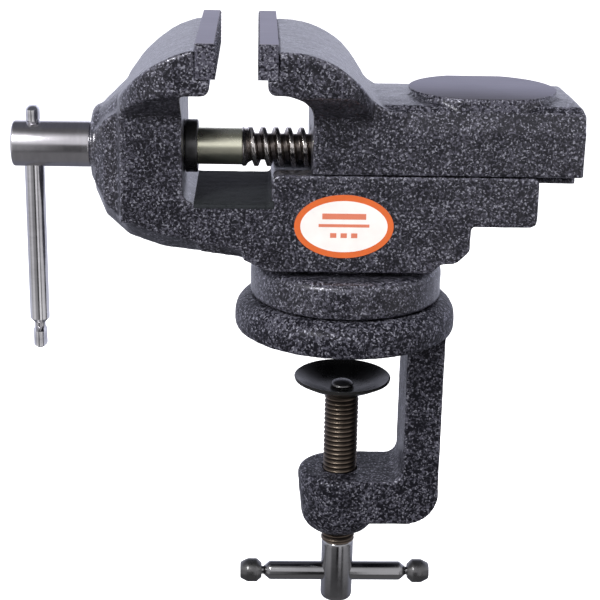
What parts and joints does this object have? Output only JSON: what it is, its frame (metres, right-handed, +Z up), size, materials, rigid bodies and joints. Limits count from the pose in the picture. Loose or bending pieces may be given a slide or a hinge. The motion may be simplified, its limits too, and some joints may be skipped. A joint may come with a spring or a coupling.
{
  "type": "bench vise",
  "caption": "Small clamp-on bench vise with a swivel base, a fixed and a sliding jaw, a round anvil pad, a lead screw with a sliding handle and a table clamp.",
  "frame": {"origin": "centre of the swivel base's underside, on the bench top's surface and on the swivel and clamp screw axis", "axes": "+Z up along the swivel axis, +X along the lead screw from the handle to the anvil and tail, +Y across the jaws"},
  "size_m": [0.1639, 0.07, 0.1834],
  "materials": {
    "casting": "glossy dark hammer finish over cast iron",
    "ground_steel": "ground, serrated faces",
    "bright_steel": "turned and oiled",
    "black_steel": "black oxide, semi-gloss",
    "bronze_steel": "brown oxide on rolled thread",
    "nut_metal": "machined bronze",
    "label": "printed glossy foil, white oval with an orange border"
  },
  "bodies": {
    "clamp_frame": {"clamp_frame": "casting"},
    "cup_carrier": {"cup_rivet": "bright_steel"},
    "clamp_cup": {"clamp_cup": "black_steel"},
    "clamp_screw": {"clamp_screw": "bronze_steel"},
    "t_bar": {"clamp_t_bar": "black_steel", "t_bar_knobs": "black_steel"},
    "vise": {"vise_body": "casting", "pivot_bolt": "bright_steel", "pivot_washer": "bright_steel", "pivot_spring_washer": "black_steel", "fixed_jaw_plate": "ground_steel", "fixed_plate_screws": "bright_steel", "label": "label"},
    "lead_screw": {"lead_screw": "bright_steel", "thrust_collar": "black_steel", "collar_pin": "bright_steel"},
    "handle": {"handle_bar": "bright_steel"},
    "moving_jaw": {"moving_jaw": "casting", "moving_jaw_plate": "ground_steel", "moving_plate_screws": "bright_steel", "lead_nut": "nut_metal", "nut_retainer": "black_steel", "nut_retainer_screws": "bright_steel"}
  },
  "joints": [
    {"name": "swivel", "type": "hinge", "parent": "clamp_frame", "child": "vise", "pos_m": [0, 0, 0], "axis": [0, 0, 1], "continuous": true},
    {"name": "jaw_slide", "type": "slide", "parent": "vise", "child": "moving_jaw", "axis": [1, 0, 0], "range_m": [-0.0112, 0.037]},
    {"name": "screw_spin", "type": "hinge", "parent": "vise", "child": "lead_screw", "pos_m": [0, 0, 0.0547], "axis": [1, 0, 0], "range_deg": [-3600, 1100]},
    {"name": "handle_slide", "type": "slide", "parent": "lead_screw", "child": "handle", "axis": [0, 0, 1], "range_m": [0, 0.0495]},
    {"name": "clamp_lift", "type": "slide", "parent": "clamp_frame", "child": "cup_carrier", "axis": [0, 0, 1], "range_m": [-0.024, 0.0055]},
    {"name": "clamp_spin", "type": "hinge", "parent": "cup_carrier", "child": "clamp_screw", "pos_m": [0, 0, -0.05], "axis": [0, 0, 1], "range_deg": [-5800, 1400]},
    {"name": "t_bar_slide", "type": "slide", "parent": "clamp_screw", "child": "t_bar", "axis": [1, 0, 0], "range_m": [-0.0175, 0.019]},
    {"name": "cup_tilt", "type": "hinge", "parent": "cup_carrier", "child": "clamp_cup", "pos_m": [0, 0, -0.0215], "axis": [1, 0, 0], "range_deg": [-5, 5]}
  ],
  "couplings": [
    {"joint": "screw_spin", "follows": "jaw_slide", "rad_per_m": -1675.5},
    {"joint": "clamp_spin", "follows": "clamp_lift", "rad_per_m": 4188.8}
  ]
}
